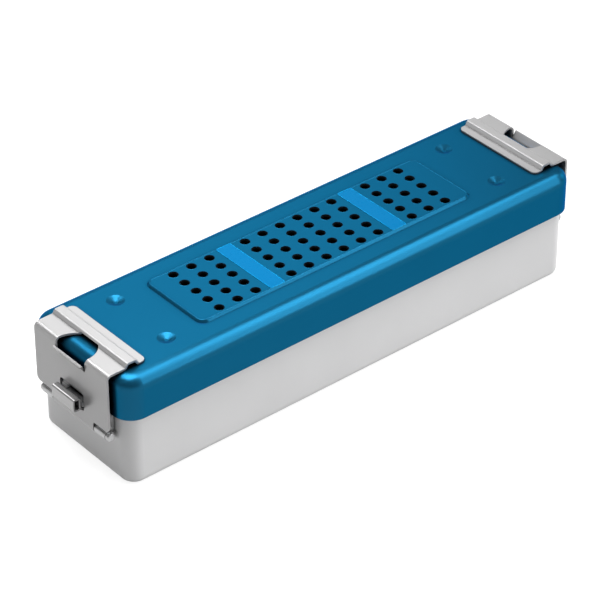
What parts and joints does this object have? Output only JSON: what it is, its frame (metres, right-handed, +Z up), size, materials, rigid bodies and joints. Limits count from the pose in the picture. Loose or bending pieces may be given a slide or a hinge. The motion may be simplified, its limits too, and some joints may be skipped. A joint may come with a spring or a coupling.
{
  "type": "sterilization container",
  "caption": "Small steel-blue sterilization container with a pale grey tray, a perforated lid and a bent-sheet latch at each end",
  "frame": {"origin": "Centre of the flat floor of the tray, on the surface the container stands on", "axes": "+X along the container's length towards the right latch, +Y across it away from the pictured long side, +Z up"},
  "size_m": [0.2746, 0.069, 0.0598],
  "materials": {
    "tray_anodised": "natural anodised, fine satin",
    "lid_blue": "blue anodised aluminium, satin",
    "strip_blue": "brighter blue marking strip, smooth",
    "silicone": "grey silicone, matt",
    "stainless": "stainless, fine grain",
    "latch_steel": "stainless sheet, bead-blasted satin",
    "retainer_anodised": "dark anodised aluminium, matt",
    "filter_cloth": "dark non-woven filter cloth"
  },
  "bodies": {
    "base": {"base_tray": "tray_anodised", "hinge_bracket_left": "stainless", "hinge_bracket_right": "stainless", "hinge_pin_left": "stainless", "hinge_pin_right": "stainless", "seal_loop_left": "stainless", "seal_loop_right": "stainless", "bracket_rivets_left": "stainless", "bracket_rivets_right": "stainless", "loop_rivets_left": "stainless", "loop_rivets_right": "stainless"},
    "lid": {"lid_shell": "lid_blue", "lid_gasket": "silicone", "marking_strip_left": "strip_blue", "marking_strip_right": "strip_blue", "retainer_studs": "stainless"},
    "retainer": {"filter_retainer": "retainer_anodised", "filter_sheet": "filter_cloth"},
    "left_latch": {"latch_left": "latch_steel"},
    "right_latch": {"latch_right": "latch_steel"}
  },
  "joints": [
    {"name": "lid_lift", "type": "slide", "parent": "base", "child": "lid", "axis": [0, 0, 1], "range_m": [0, 0.018]},
    {"name": "left_latch_swing", "type": "hinge", "parent": "base", "child": "left_latch", "pos_m": [-0.13001, 0, 0.0243], "axis": [0, -1, 0], "range_deg": [0, 115]},
    {"name": "right_latch_swing", "type": "hinge", "parent": "base", "child": "right_latch", "pos_m": [0.13001, 0, 0.0243], "axis": [0, 1, 0], "range_deg": [0, 115]},
    {"name": "retainer_slide", "type": "slide", "parent": "lid", "child": "retainer", "axis": [1, 0, 0], "range_m": [0, 0.006]}
  ],
  "couplings": [
    {"joint": "left_latch_swing", "follows": "lid_lift", "rad_per_m": 111},
    {"joint": "right_latch_swing", "follows": "lid_lift", "rad_per_m": 111}
  ]
}
